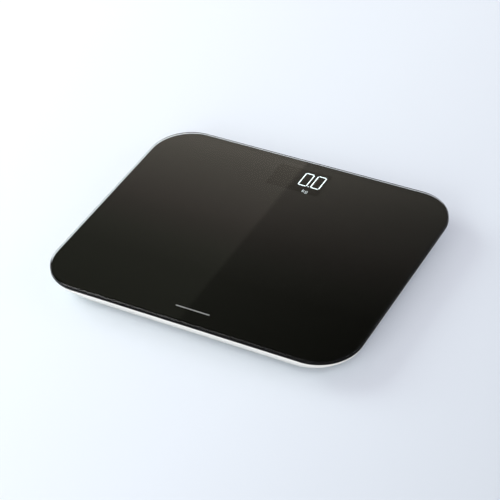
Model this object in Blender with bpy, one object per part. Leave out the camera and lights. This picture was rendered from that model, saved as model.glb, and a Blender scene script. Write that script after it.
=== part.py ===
"""Digital bathroom scale: a glass platform bonded to a shallow moulded tray on four weighing feet.

Run with: blender --background --python part.py
Metres, +Z up. The origin is on the floor under the middle of the platform, +Y points to the display.
"""

import math

import bmesh
import bpy
from mathutils import Matrix, Vector

MM = 0.001

# Driving dimensions
PLATFORM_WIDTH = 280 * MM
PLATFORM_DEPTH = 225 * MM
PLATFORM_RADIUS = 36 * MM
GLASS_THICKNESS = 4.5 * MM
GLASS_ARRIS = 1.2 * MM
TOTAL_HEIGHT = 22.5 * MM
GAP = 0.3 * MM  # left between pieces that touch on the real object

# Heights, measured from the floor
GLASS_BOTTOM = TOTAL_HEIGHT - GLASS_THICKNESS
UNDER_GLASS = GLASS_BOTTOM - GAP
TRAY_BOTTOM = 4 * MM
TRAY_FLOOR = 2 * MM
TRAY_INSIDE = TRAY_BOTTOM + TRAY_FLOOR
ROOT = TRAY_INSIDE - 0.5 * MM  # where ribs and bosses start, inside the floor

# Tray side, as insets from the platform's edge
RIM_INSET = 1.5 * MM
TRAY_RADIUS = 35.2 * MM  # the same at every height
BAND_BOTTOM = 14.9 * MM
FLAT_INSET = 9.3 * MM
LIP_WIDTH = 1.2 * MM
LEDGE_HEIGHT = 16.9 * MM
WALL_INSIDE_INSET = 6.0 * MM
WALL_INSIDE_HEIGHT = 12.2 * MM  # above it the inside wall stands upright
FLOOR_INSIDE_INSET = 10.4 * MM
CORNER_STEPS = 10

# Weighing corners
CORNER_X = PLATFORM_WIDTH / 2 - 40 * MM
CORNER_Y = PLATFORM_DEPTH / 2 - 40 * MM
CORNERS = {
    "front_left": (-1, -1),
    "front_right": (1, -1),
    "back_left": (-1, 1),
    "back_right": (1, 1),
}
CELL_SIDE = 34 * MM
CELL_BOTTOM = 9.5 * MM
CELL_TOP = 11.7 * MM
CELL_CORNER = 2.5 * MM
TONGUE_HOLE_RADIUS = 2.4 * MM
FENCE_WALL = 1.7 * MM
SEAT_POST_SIDE = 4.8 * MM
LEAD_GATE_HALF = 2.4 * MM

# Bracket over each load cell, and its two screws
HOLDER_HALF = 19 * MM
HOLDER_BOTTOM = 15.2 * MM
SKIRT_HALF = 16.6 * MM
SKIRT_INSIDE = 13 * MM
SKIRT_BOTTOM = 12 * MM
EAR_REACH = 23.5 * MM
EAR_RADIUS = 4.6 * MM
EAR_TOP = 17.4 * MM
SCREW_SEAT = 16.3 * MM
SCREW_BOSS_RADIUS = 3.3 * MM
SCREW_BOSS_TOP = 14.9 * MM
SCREW_PILOT_RADIUS = 1.55 * MM
SCREW_PILOT_BOTTOM = 7.5 * MM

# Feet
FOOT_RADIUS = 14 * MM
FOOT_HOLE_RADIUS = FOOT_RADIUS + 0.7 * MM
CUP_BOTTOM = 1.2 * MM
CUP_CEILING = 2.1 * MM
CUP_INSIDE_RADIUS = 11.4 * MM
COLLAR_RADIUS = 16.4 * MM
COLLAR_BOTTOM = TRAY_INSIDE + 0.6 * MM
COLLAR_TOP = 7.8 * MM
FOOT_BOSS_RADIUS = 6 * MM
PEG_RADIUS = 1.9 * MM
PEG_HEAD_RADIUS = 3.1 * MM
PEG_HEAD_BOTTOM = 12.2 * MM
PEG_TOP = 13.2 * MM
PAD_RADIUS = 11 * MM
PAD_TOP = 1.8 * MM

# Stiffening ribs
RIB_TOP = 8.5 * MM
RIB_HALF = 0.75 * MM
RIB_INSET = 16 * MM
RIB_Y = 46 * MM
RIB_X = 62 * MM

# Electronics
BOARD_WIDTH = 76 * MM
BOARD_FRONT = 62 * MM
BOARD_BACK = 103 * MM
BOARD_BOTTOM = 9.6 * MM
BOARD_TOP = 11.2 * MM
BOARD_POST_INSET = 4 * MM
BOARD_POST_RADIUS = 2.6 * MM
BOARD_PILOT_RADIUS = 1.3 * MM
WINDOW_CENTRE_Y = 87 * MM
WINDOW_WIDTH = 50 * MM
WINDOW_DEPTH = 30 * MM
DIGIT_PITCH = 11.65 * MM
DIGIT_WIDTH = 8.6 * MM
DIGIT_HEIGHT = 17.2 * MM
DIGIT_CENTRE_Y = 89.4 * MM
SEGMENT_STROKE = 1.3 * MM
BUTTON_X = 20 * MM
BUTTON_Y = 74 * MM
BUTTON_RADIUS = 3.8 * MM
BUTTON_FLANGE_RADIUS = 5.4 * MM

# Battery box, about the origin in plan
CELL_LENGTH = 44.5 * MM
CELL_RADIUS = 5.25 * MM
CELL_SPACING = 11.2 * MM
CELL_AXIS_HEIGHT = 11.3 * MM
BOX_HALF_X = 26.5 * MM
BOX_HALF_Y = 11.6 * MM
BOX_WALL = 1.6 * MM
DOOR_HALF_X = 29.5 * MM
DOOR_FRONT = -15.7 * MM
DOOR_BACK = 16.0 * MM
DOOR_THICKNESS = 1.5 * MM
DOOR_FRAME_X = 33 * MM
DOOR_FRAME_Y = 20 * MM
DOOR_FRAME_TOP = 7.4 * MM
BOX_CEILING = 16.85 * MM
TAB_X = 18 * MM
TAB_WIDTH = 5.6 * MM
CONTACT_HALF = 4.4 * MM


def clear_scene():
    for item in list(bpy.data.objects):
        bpy.data.objects.remove(item)


def finish(name, colour, roughness, metallic=0.0):
    """A Principled material for one kind of piece."""
    made = bpy.data.materials.get(name) or bpy.data.materials.new(name)
    made.use_nodes = True
    shader = made.node_tree.nodes["Principled BSDF"]
    shader.inputs["Base Color"].default_value = (*colour, 1.0)
    shader.inputs["Roughness"].default_value = roughness
    shader.inputs["Metallic"].default_value = metallic
    return made


def black_glass():
    return finish("black_backed_glass", (0.010, 0.010, 0.009), 0.04)


def white_shell():
    return finish("white_abs", (0.86, 0.86, 0.84), 0.42)


def grey_plastic():
    return finish("grey_abs", (0.35, 0.36, 0.37), 0.5)


def dark_rubber():
    return finish("grey_rubber", (0.16, 0.16, 0.17), 0.85)


def steel():
    return finish("zinc_steel", (0.62, 0.62, 0.6), 0.32, 1.0)


def spring_steel():
    return finish("nickel_strip", (0.75, 0.73, 0.68), 0.25, 1.0)


def chip_black():
    return finish("chip_epoxy", (0.02, 0.02, 0.022), 0.45)


def shaped(name, bm, material, smooth=True):
    """Turns a bmesh into an object with its normals facing out."""
    bmesh.ops.recalc_face_normals(bm, faces=bm.faces)
    mesh = bpy.data.meshes.new(name)
    bm.to_mesh(mesh)
    bm.free()
    if smooth:
        mesh.shade_smooth()
        mesh.set_sharp_from_angle(angle=math.radians(35))
    if material is not None:
        mesh.materials.append(material)
    piece = bpy.data.objects.new(name, mesh)
    bpy.context.scene.collection.objects.link(piece)
    return piece


def place(piece, x=0.0, y=0.0, z=0.0, turn=0.0):
    piece.location = (x, y, z)
    piece.rotation_euler = (0.0, 0.0, turn)
    return piece


def rounded_outline(half_x, half_y, radius, steps=CORNER_STEPS):
    """Points round a rectangle with arc corners, anticlockwise from the +X side."""
    points = []
    for quarter, (sx, sy) in enumerate(((1, 1), (-1, 1), (-1, -1), (1, -1))):
        for step in range(steps + 1):
            angle = math.radians(90) * (quarter + step / steps)
            x = sx * (half_x - radius) + radius * math.cos(angle)
            y = sy * (half_y - radius) + radius * math.sin(angle)
            points.append((x, y))
    return points


def raised(outline, height):
    return [(x, y, height) for x, y in outline]


def edge_ring(inset, height, radius):
    """The platform's rectangle moved in by inset, with its own corner radius, at one height."""
    return raised(rounded_outline(PLATFORM_WIDTH / 2 - inset, PLATFORM_DEPTH / 2 - inset, radius), height)


def bridged(bm, rings, close_ends=True, close_loop=False):
    """Skins a list of rings that have the same number of points."""
    loops = [[bm.verts.new(point) for point in ring] for ring in rings]
    pairs = list(zip(loops, loops[1:]))
    if close_loop:
        pairs.append((loops[-1], loops[0]))
    for low, high in pairs:
        for i in range(len(low)):
            j = (i + 1) % len(low)
            bm.faces.new((low[i], low[j], high[j], high[i]))
    if close_ends and not close_loop:
        bm.faces.new(list(reversed(loops[0])))
        bm.faces.new(loops[-1])


def stacked(name, rings, material):
    bm = bmesh.new()
    bridged(bm, rings)
    return shaped(name, bm, material)


def box(name, low, high, material=None, bevel=0.0):
    """A block between two corners, its upright edges rounded by bevel."""
    bm = bmesh.new()
    bmesh.ops.create_cube(bm, size=1.0)
    size = Vector(high) - Vector(low)
    centre = (Vector(high) + Vector(low)) / 2
    bmesh.ops.scale(bm, vec=size, verts=bm.verts)
    bmesh.ops.translate(bm, vec=centre, verts=bm.verts)
    if bevel:
        upright = [e for e in bm.edges if abs(e.verts[0].co.z - e.verts[1].co.z) > size.z / 2]
        bmesh.ops.bevel(bm, geom=upright, offset=bevel, segments=3, affect="EDGES", profile=0.5)
    return shaped(name, bm, material, smooth=bool(bevel))


def turned(name, profile, material=None, steps=24):
    """A round piece about Z. The profile is (radius, height) pairs from the axis round to the axis."""
    bm = bmesh.new()
    loops = []
    for radius, height in profile:
        if radius == 0:
            loops.append([bm.verts.new((0, 0, height))])
            continue
        angles = [2 * math.pi * i / steps for i in range(steps)]
        loops.append([bm.verts.new((radius * math.cos(a), radius * math.sin(a), height)) for a in angles])
    for low, high in zip(loops, loops[1:]):
        for i in range(steps):
            j = (i + 1) % steps
            corners = [low[i % len(low)], low[j % len(low)], high[j % len(high)], high[i % len(high)]]
            bm.faces.new(list(dict.fromkeys(corners)))
    return shaped(name, bm, material)


def cylinder(name, radius, low, high, material=None, steps=24):
    return turned(name, [(0, low), (radius, low), (radius, high), (0, high)], material, steps)


def helper(piece, group):
    """Hides a tool piece and puts it in the group that a Boolean reads."""
    piece.hide_render = True
    piece.display_type = "WIRE"
    for holder in list(piece.users_collection):
        holder.objects.unlink(piece)
    group.objects.link(piece)
    return piece


def tool_group(name):
    group = bpy.data.collections.new(name)
    bpy.context.scene.collection.children.link(group)
    return group


def boolean(piece, group, operation):
    modifier = piece.modifiers.new(operation.lower() + "_" + group.name, "BOOLEAN")
    modifier.operand_type = "COLLECTION"
    modifier.collection = group
    modifier.operation = operation
    modifier.solver = "EXACT"


def smooth_path(knots, per_span=3):
    """Points on a Catmull-Rom curve through the knots."""
    ends = [2 * knots[0] - knots[1], *knots, 2 * knots[-1] - knots[-2]]
    path = []
    for a, b, c, d in zip(ends, ends[1:], ends[2:], ends[3:]):
        for step in range(per_span):
            t = step / per_span
            squared = (2 * a - 5 * b + 4 * c - d) * t**2
            cubed = (3 * b - a - 3 * c + d) * t**3
            path.append(0.5 * (2 * b + (c - a) * t + squared + cubed))
    path.append(knots[-1])
    return path


def wire(name, knots, radius, material):
    """A round lead along a smooth curve through its knots, given in millimetres."""
    path = smooth_path([Vector(knot) * MM for knot in knots])
    curve = bpy.data.curves.new(name, "CURVE")
    curve.dimensions = "3D"
    curve.bevel_depth = radius
    curve.bevel_resolution = 1
    curve.use_fill_caps = True
    spline = curve.splines.new("POLY")
    spline.points.add(len(path) - 1)
    for point, place_at in zip(spline.points, path):
        point.co = (*place_at, 1.0)
    curve.materials.append(material)
    piece = bpy.data.objects.new(name, curve)
    bpy.context.scene.collection.objects.link(piece)
    return piece


def make_glass():
    """The tempered platform, with a flat arris ground along both edges."""
    inner_radius = PLATFORM_RADIUS - GLASS_ARRIS
    rings = [
        edge_ring(GLASS_ARRIS, GLASS_BOTTOM, inner_radius),
        edge_ring(0, GLASS_BOTTOM + GLASS_ARRIS, PLATFORM_RADIUS),
        edge_ring(0, TOTAL_HEIGHT - GLASS_ARRIS, PLATFORM_RADIUS),
        edge_ring(GLASS_ARRIS, TOTAL_HEIGHT, inner_radius),
    ]
    stacked("glass_platform", rings, black_glass())


def make_tape():
    """The double-sided tape that bonds the glass to the tray's ledge."""
    tape_outside = RIM_INSET + LIP_WIDTH + GAP
    tape_inside = WALL_INSIDE_INSET - 0.4 * MM
    low = LEDGE_HEIGHT + GAP
    rings = [
        edge_ring(tape_outside, low, TRAY_RADIUS),
        edge_ring(tape_outside, UNDER_GLASS, TRAY_RADIUS),
        edge_ring(tape_inside, UNDER_GLASS, TRAY_RADIUS),
        edge_ring(tape_inside, low, TRAY_RADIUS),
    ]
    bm = bmesh.new()
    bridged(bm, rings, close_loop=True)
    shaped("platform_tape", bm, finish("acrylic_foam_tape", (0.75, 0.75, 0.73), 0.8))


def tray_shell():
    """The empty tray: an upright band under the glass, a side that slopes in, and a flat bottom."""
    side = [
        (FLAT_INSET + 0.7 * MM, TRAY_BOTTOM),
        (FLAT_INSET - 0.2 * MM, TRAY_BOTTOM + 0.3 * MM),
        (RIM_INSET + 0.4 * MM, BAND_BOTTOM - 0.6 * MM),
        (RIM_INSET, BAND_BOTTOM + 0.6 * MM),
        (RIM_INSET, UNDER_GLASS),
        (RIM_INSET + LIP_WIDTH, UNDER_GLASS),
        (RIM_INSET + LIP_WIDTH, LEDGE_HEIGHT),
        (WALL_INSIDE_INSET - 0.2 * MM, LEDGE_HEIGHT),
        (WALL_INSIDE_INSET, WALL_INSIDE_HEIGHT),
        (FLOOR_INSIDE_INSET - 0.8 * MM, TRAY_INSIDE + 0.8 * MM),
        (FLOOR_INSIDE_INSET + 0.4 * MM, TRAY_INSIDE),
    ]
    return stacked("base_tray", [edge_ring(inset, z, TRAY_RADIUS) for inset, z in side], white_shell())


def corner_centre(sx, sy):
    return sx * CORNER_X, sy * CORNER_Y


def corner_turn(sx):
    """Local +X of a weighing corner points to the middle of the scale."""
    return math.pi if sx > 0 else 0.0


def add_cell_seats(added, removed):
    """Fence, corner posts and screw bosses for each load cell, and the hole for its foot."""
    inner = CELL_SIDE / 2 + 0.5 * MM
    outer = inner + FENCE_WALL
    fence_top = CELL_TOP - GAP
    post = CELL_SIDE / 2 - 1.6 * MM
    half_post = SEAT_POST_SIDE / 2
    for name, (sx, sy) in CORNERS.items():
        x, y = corner_centre(sx, sy)
        for side in (-1, 1):
            low, high = sorted((side * inner, side * outer))
            fence_x = ((x + low, y - outer, ROOT), (x + high, y + outer, fence_top))
            helper(box(f"fence_x_{name}_{side}", *fence_x), added)
            fence_y = ((x - outer, y + low, ROOT), (x + outer, y + high, fence_top))
            helper(box(f"fence_y_{name}_{side}", *fence_y), added)
            boss = cylinder(f"boss_{name}_{side}", SCREW_BOSS_RADIUS, ROOT, SCREW_BOSS_TOP, steps=16)
            helper(place(boss, x, y + side * EAR_REACH), added)
            pilot_top = SCREW_BOSS_TOP + 1 * MM
            pilot_span = (SCREW_PILOT_BOTTOM, pilot_top)
            pilot = cylinder(f"pilot_{name}_{side}", SCREW_PILOT_RADIUS, *pilot_span, steps=12)
            helper(place(pilot, x, y + side * EAR_REACH), removed)
            for along in (-1, 1):
                px, py = x + side * post, y + along * post
                low_corner = (px - half_post, py - half_post, ROOT)
                high_corner = (px + half_post, py + half_post, CELL_BOTTOM - GAP)
                helper(box(f"post_{name}_{side}_{along}", low_corner, high_corner), added)
        hole = cylinder(f"foot_hole_{name}", FOOT_HOLE_RADIUS, 3 * MM, 7 * MM, steps=40)
        helper(place(hole, x, y), removed)
        gate_low = (inner - 0.5 * MM, -LEAD_GATE_HALF, 8.6 * MM)
        gate_high = (outer + 0.5 * MM, LEAD_GATE_HALF, 15 * MM)
        gate = box(f"lead_gate_{name}", gate_low, gate_high)
        helper(place(gate, x, y, turn=corner_turn(sx)), removed)


def add_ribs(added):
    """Low stiffening ribs across the tray's floor, clear of the corners, the box and the board."""
    reach_x = PLATFORM_WIDTH / 2 - RIB_INSET
    reach_y = PLATFORM_DEPTH / 2 - RIB_INSET
    for side in (-1, 1):
        y = side * RIB_Y
        helper(box(f"rib_y_{side}", (-reach_x, y - RIB_HALF, ROOT), (reach_x, y + RIB_HALF, RIB_TOP)), added)
        x = side * RIB_X
        helper(box(f"rib_x_{side}", (x - RIB_HALF, -reach_y, ROOT), (x + RIB_HALF, reach_y, RIB_TOP)), added)


def board_post_places():
    for sx in (-1, 1):
        for y in (BOARD_FRONT + BOARD_POST_INSET, BOARD_BACK - BOARD_POST_INSET):
            yield sx * (BOARD_WIDTH / 2 - BOARD_POST_INSET), y


def add_board_posts(added, removed):
    for i, (x, y) in enumerate(board_post_places()):
        post = cylinder(f"board_post_{i}", BOARD_POST_RADIUS, ROOT, BOARD_BOTTOM - GAP, steps=16)
        helper(place(post, x, y), added)
        pilot = cylinder(f"board_pilot_{i}", BOARD_PILOT_RADIUS, 6.3 * MM, 12 * MM, steps=12)
        helper(place(pilot, x, y), removed)


def add_battery_box(added, removed):
    """A ceilinged box for two cells, a frame for the door, slots for its tabs and latch, and contact slots."""
    outer_x = BOX_HALF_X + BOX_WALL
    outer_y = BOX_HALF_Y + BOX_WALL
    ledge = TRAY_BOTTOM + DOOR_THICKNESS + 0.4 * MM
    helper(box("box_block", (-outer_x, -outer_y, ROOT), (outer_x, outer_y, UNDER_GLASS)), added)
    frame = ((-DOOR_FRAME_X, -DOOR_FRAME_Y, ROOT), (DOOR_FRAME_X, DOOR_FRAME_Y, DOOR_FRAME_TOP))
    helper(box("door_frame", *frame), added)
    helper(box("box_space", (-BOX_HALF_X, -BOX_HALF_Y, 3 * MM), (BOX_HALF_X, BOX_HALF_Y, BOX_CEILING)), removed)
    door_space = box(
        "door_space",
        (-DOOR_HALF_X - 0.6 * MM, DOOR_FRONT - 0.6 * MM, 3 * MM),
        (DOOR_HALF_X + 0.6 * MM, DOOR_BACK + 1.0 * MM, ledge),
    )
    helper(door_space, removed)
    for side in (-1, 1):
        x = side * TAB_X
        slot = box(f"tab_slot_{side}", (x - 3.5 * MM, 13.6 * MM, 5.2 * MM), (x + 3.5 * MM, 19.6 * MM, 9 * MM))
        helper(slot, removed)
        y = side * CELL_SPACING / 2
        contact_slot = box(
            f"contact_slot_{side}",
            (-outer_x - 1 * MM, y - 1.9 * MM, 12.6 * MM),
            (-BOX_HALF_X + 1 * MM, y + 1.9 * MM, 14.2 * MM),
        )
        helper(contact_slot, removed)
    helper(box("latch_slot", (-6.6 * MM, -17.6 * MM, 3 * MM), (6.6 * MM, -13.4 * MM, 9 * MM)), removed)
    scoop = cylinder("finger_scoop", 9 * MM, 3 * MM, 5.2 * MM, steps=24)
    helper(place(scoop, 0, -19 * MM), removed)


def add_button_hole(removed):
    hole = turned(
        "button_hole",
        [
            (0, 3 * MM),
            (BUTTON_RADIUS + 2.8 * MM, 3 * MM),
            (BUTTON_RADIUS + 1.8 * MM, 4.6 * MM),
            (BUTTON_RADIUS + 0.5 * MM, 4.6 * MM),
            (BUTTON_RADIUS + 0.5 * MM, 7 * MM),
            (0, 7 * MM),
        ],
    )
    helper(place(hole, BUTTON_X, BUTTON_Y), removed)


def make_tray():
    tray = tray_shell()
    added = tool_group("tray_added")
    removed = tool_group("tray_removed")
    add_cell_seats(added, removed)
    add_ribs(added)
    add_board_posts(added, removed)
    add_battery_box(added, removed)
    add_button_hole(removed)
    boolean(tray, added, "UNION")
    boolean(tray, removed, "DIFFERENCE")


def make_load_cell(name, x, y, turn):
    """A stamped plate whose tongue, held by a narrow neck, carries the foot."""
    half = CELL_SIDE / 2
    outline = rounded_outline(half, half, CELL_CORNER, steps=3)
    rings = [raised(outline, z) for z in (CELL_BOTTOM, CELL_TOP)]
    cell = place(stacked(f"load_cell_{name}", rings, steel()), x, y, turn=turn)
    slots = tool_group(f"cell_slots_{name}")
    low, high = CELL_BOTTOM - 1 * MM, CELL_TOP + 1 * MM
    across = box(f"slot_end_{name}", (-13 * MM, -10 * MM, low), (-11 * MM, 10 * MM, high))
    helper(place(across, x, y, turn=turn), slots)
    for side in (-1, 1):
        y0, y1 = sorted((side * 8 * MM, side * 10 * MM))
        along = box(f"slot_side_{name}_{side}", (-12 * MM, y0, low), (8 * MM, y1, high))
        helper(place(along, x, y, turn=turn), slots)
        y0, y1 = sorted((side * 5 * MM, side * 9 * MM))
        neck = box(f"slot_neck_{name}_{side}", (6 * MM, y0, low), (7.9 * MM, y1, high))
        helper(place(neck, x, y, turn=turn), slots)
    hole = cylinder(f"tongue_hole_{name}", TONGUE_HOLE_RADIUS, low, high, steps=16)
    helper(place(hole, x, y), slots)
    boolean(cell, slots, "DIFFERENCE")


def make_gauge_coat(name, x, y, turn):
    """The silicone that covers the strain gauge on the neck."""
    outline = rounded_outline(3.6 * MM, 3.2 * MM, 1.4 * MM, steps=3)
    shapes = ((1.0, CELL_TOP + GAP), (1.0, CELL_TOP + 0.8 * MM), (0.81, CELL_TOP + 1.2 * MM))
    rings = [[(px * share, py * share, z) for px, py in outline] for share, z in shapes]
    coat = stacked(f"gauge_coat_{name}", rings, finish("white_silicone", (0.85, 0.85, 0.82), 0.5))
    move = Matrix.Rotation(turn, 3, "Z") @ Vector((9 * MM, 0, 0))
    place(coat, x + move.x, y + move.y, turn=turn)


def make_cell_holder(name, x, y, turn):
    """The bracket under the glass that presses on the cell's outer frame, with an ear at each side."""
    low, high = HOLDER_BOTTOM, UNDER_GLASS
    outline = rounded_outline(HOLDER_HALF, HOLDER_HALF, 3 * MM, steps=3)
    rings = [raised(outline, z) for z in (low, high)]
    holder = place(stacked(f"cell_holder_{name}", rings, grey_plastic()), x, y, turn=turn)
    added = tool_group(f"holder_added_{name}")
    removed = tool_group(f"holder_removed_{name}")
    ear_outline = rounded_outline(EAR_RADIUS, EAR_REACH + EAR_RADIUS, EAR_RADIUS - 0.1 * MM, steps=5)
    ears = stacked(f"ears_{name}", [raised(ear_outline, z) for z in (low, EAR_TOP)], None)
    helper(place(ears, x, y, turn=turn), added)
    skirt_low, skirt_high = (-SKIRT_HALF, -SKIRT_HALF, SKIRT_BOTTOM), (SKIRT_HALF, SKIRT_HALF, low + 1 * MM)
    skirt = box(f"skirt_{name}", skirt_low, skirt_high)
    helper(place(skirt, x, y, turn=turn), added)
    space_low = (-SKIRT_INSIDE, -SKIRT_INSIDE, SKIRT_BOTTOM - 1 * MM)
    space_high = (SKIRT_INSIDE, SKIRT_INSIDE, low + 0.4 * MM)
    space = box(f"skirt_space_{name}", space_low, space_high)
    helper(place(space, x, y, turn=turn), removed)
    gate_low = (SKIRT_INSIDE - 1 * MM, -LEAD_GATE_HALF, SKIRT_BOTTOM - 1 * MM)
    gate_high = (SKIRT_HALF + 1.4 * MM, LEAD_GATE_HALF, 14.6 * MM)
    gate = box(f"holder_gate_{name}", gate_low, gate_high)
    helper(place(gate, x, y, turn=turn), removed)
    for side in (-1, 1):
        screw_space = turned(
            f"screw_space_{name}_{side}",
            [
                (0, 14 * MM),
                (1.7 * MM, 14 * MM),
                (1.7 * MM, SCREW_SEAT - GAP),
                (2.9 * MM, SCREW_SEAT - GAP),
                (2.9 * MM, 18.5 * MM),
                (0, 18.5 * MM),
            ],
            steps=16,
        )
        helper(place(screw_space, x, y + side * EAR_REACH), removed)
    boolean(holder, added, "UNION")
    boolean(holder, removed, "DIFFERENCE")


def screw(name, x, y, under_head, length, shank_radius=1.25 * MM, head_radius=2.5 * MM):
    """A self-tapping screw, its head up: a pan head, a plain shank and a point."""
    head = 1.2 * MM
    profile = [
        (0, under_head - length),
        (0.35 * MM, under_head - length),
        (shank_radius, under_head - length + 1.4 * MM),
        (shank_radius, under_head),
        (head_radius, under_head),
        (head_radius, under_head + 0.7 * head),
        (0.72 * head_radius, under_head + head),
        (0, under_head + head),
    ]
    place(turned(name, profile, steel(), steps=12), x, y)


def make_foot(name, x, y):
    """The hard foot: a pad cup below, a collar inside the tray, and a headed peg through the tongue."""
    profile = [
        (0, CUP_CEILING),
        (CUP_INSIDE_RADIUS, CUP_CEILING),
        (CUP_INSIDE_RADIUS, CUP_BOTTOM),
        (FOOT_RADIUS - 1.1 * MM, CUP_BOTTOM),
        (FOOT_RADIUS, CUP_CEILING),
        (FOOT_RADIUS, COLLAR_BOTTOM),
        (COLLAR_RADIUS, COLLAR_BOTTOM),
        (COLLAR_RADIUS, COLLAR_TOP),
        (FOOT_BOSS_RADIUS, COLLAR_TOP),
        (FOOT_BOSS_RADIUS, CELL_BOTTOM - GAP),
        (PEG_RADIUS, CELL_BOTTOM - GAP),
        (PEG_RADIUS, PEG_HEAD_BOTTOM),
        (PEG_HEAD_RADIUS, PEG_HEAD_BOTTOM),
        (PEG_HEAD_RADIUS, PEG_HEAD_BOTTOM + 0.5 * MM),
        (PEG_RADIUS + 0.1 * MM, PEG_TOP),
        (0, PEG_TOP),
    ]
    place(turned(f"foot_{name}", profile, grey_plastic(), steps=28), x, y)
    pad_profile = [
        (0, 0),
        (PAD_RADIUS - 0.8 * MM, 0),
        (PAD_RADIUS, 0.6 * MM),
        (PAD_RADIUS, PAD_TOP),
        (0, PAD_TOP),
    ]
    place(turned(f"foot_pad_{name}", pad_profile, dark_rubber(), steps=28), x, y)


def make_weighing_corners():
    for name, (sx, sy) in CORNERS.items():
        x, y = corner_centre(sx, sy)
        turn = corner_turn(sx)
        make_load_cell(name, x, y, turn)
        make_gauge_coat(name, x, y, turn)
        make_cell_holder(name, x, y, turn)
        make_foot(name, x, y)
        for end, side in (("front", -1), ("back", 1)):
            screw(f"holder_screw_{name}_{end}", x, y + side * EAR_REACH, SCREW_SEAT, 8.2 * MM)


def make_cell_leads():
    """Three-core leads from each gauge over the ribs to the board, mirrored from left to right."""
    jacket = finish("grey_lead_jacket", (0.55, 0.56, 0.58), 0.55)
    routes = {
        "front": [
            (-86.6, -72.5, 13.3),
            (-81.0, -72.5, 12.6),
            (-75.5, -71.0, 10.4),
            (-71.0, -65.0, 9.9),
            (-67.5, -52.0, 9.9),
            (-55.0, -26.0, 9.9),
            (-48.0, 6.0, 9.9),
            (-41.0, 36.0, 9.9),
            (-31.0, 52.0, 10.2),
            (-25.0, 58.5, 11.6),
            (-23.0, 65.5, 12.6),
        ],
        "back": [
            (-86.6, 72.5, 13.3),
            (-81.0, 72.5, 12.6),
            (-75.0, 73.4, 10.5),
            (-66.0, 76.8, 9.9),
            (-54.0, 80.0, 9.9),
            (-45.5, 81.0, 10.8),
            (-40.0, 81.2, 12.2),
            (-34.5, 81.2, 12.6),
        ],
    }
    for end, route in routes.items():
        for side, sign in (("left", 1), ("right", -1)):
            wire(f"cell_lead_{end}_{side}", [(x * sign, y, z) for x, y, z in route], 1.0 * MM, jacket)


def make_board():
    """The main board, its screws, and what is soldered to it."""
    half = BOARD_WIDTH / 2
    laminate = finish("green_laminate", (0.03, 0.16, 0.07), 0.35)
    corners = ((-half, BOARD_FRONT, BOARD_BOTTOM), (half, BOARD_BACK, BOARD_TOP))
    board = box("main_board", *corners, laminate, bevel=1.5 * MM)
    holes = tool_group("board_holes")
    for i, (x, y) in enumerate(board_post_places()):
        hole = cylinder(f"board_hole_{i}", 1.6 * MM, BOARD_BOTTOM - 1 * MM, BOARD_TOP + 1 * MM, steps=12)
        helper(place(hole, x, y), holes)
        screw(f"board_screw_{i + 1}", x, y, BOARD_TOP + GAP, 4.6 * MM, 1.0 * MM, 2.2 * MM)
    boolean(board, holes, "DIFFERENCE")
    above = BOARD_TOP + GAP
    controller = ((-36 * MM, 70 * MM, above), (-28.5 * MM, 77.5 * MM, above + 1.4 * MM))
    box("controller_chip", *controller, chip_black(), 0.8 * MM)
    converter = ((28.5 * MM, 73 * MM, above), (34.5 * MM, 78 * MM, above + 1.6 * MM))
    box("converter_chip", *converter, chip_black(), 0.4 * MM)
    capacitor = [(0, 0), (2.5, 0), (2.5, 0.8), (2.3, 1.1), (2.5, 1.4), (2.5, 5.2), (0, 5.2)]
    sleeve = finish("capacitor_sleeve", (0.05, 0.07, 0.16), 0.35)
    can = turned("board_capacitor", [(r * MM, above + z * MM) for r, z in capacitor], sleeve, steps=20)
    place(can, 32 * MM, 89 * MM)


def segment_outline(length, stroke):
    """A seven-segment bar lying along X, with pointed ends."""
    half, point = length / 2, stroke / 2
    return [
        (-half, 0),
        (-half + point, -point),
        (half - point, -point),
        (half, 0),
        (half - point, point),
        (-half + point, point),
    ]


def digit_segments():
    """(x, y, upright, length) of each bar of one digit, about the digit's centre."""
    side_x = (DIGIT_WIDTH - SEGMENT_STROKE) / 2
    end_y = (DIGIT_HEIGHT - SEGMENT_STROKE) / 2
    flat = DIGIT_WIDTH - 2.1 * SEGMENT_STROKE
    tall = DIGIT_HEIGHT / 2 - 1.2 * SEGMENT_STROKE
    for y in (-end_y, 0, end_y):
        yield 0, y, False, flat
    for x in (-side_x, side_x):
        for y in (-end_y / 2, end_y / 2):
            yield x, y, True, tall


def make_display():
    """The segment reflector on the board and the smoked filter under the glass."""
    half_x, half_y = WINDOW_WIDTH / 2 + 1 * MM, WINDOW_DEPTH / 2 + 1 * MM
    low, high = BOARD_TOP + GAP, 16.9 * MM
    block = ((-half_x, WINDOW_CENTRE_Y - half_y, low), (half_x, WINDOW_CENTRE_Y + half_y, high))
    reflector = box("display_reflector", *block, finish("white_reflector", (0.8, 0.8, 0.8), 0.4))
    wells = tool_group("segment_wells")
    for digit in range(4):
        centre_x = (digit - 1.5) * DIGIT_PITCH
        for bar, (x, y, upright, length) in enumerate(digit_segments()):
            outline = segment_outline(length, SEGMENT_STROKE)
            rings = [raised(outline, z) for z in (high - 2 * MM, high + 1 * MM)]
            well = stacked(f"well_{digit}_{bar}", rings, None)
            turn = math.pi / 2 if upright else 0.0
            helper(place(well, centre_x + x, DIGIT_CENTRE_Y + y, turn=turn), wells)
    icon = box("well_unit", (8.4 * MM, 73.5 * MM, high - 2 * MM), (15.4 * MM, 78.5 * MM, high + 1 * MM))
    helper(icon, wells)
    boolean(reflector, wells, "DIFFERENCE")
    film_low, film_high = 17.25 * MM, 17.65 * MM
    film = (
        (-half_x + 0.3 * MM, WINDOW_CENTRE_Y - half_y + 0.3 * MM, film_low),
        (half_x - 0.3 * MM, WINDOW_CENTRE_Y + half_y - 0.3 * MM, film_high),
    )
    box("display_filter", *film, finish("smoked_film", (0.02, 0.02, 0.02), 0.2), bevel=1.0 * MM)


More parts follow.
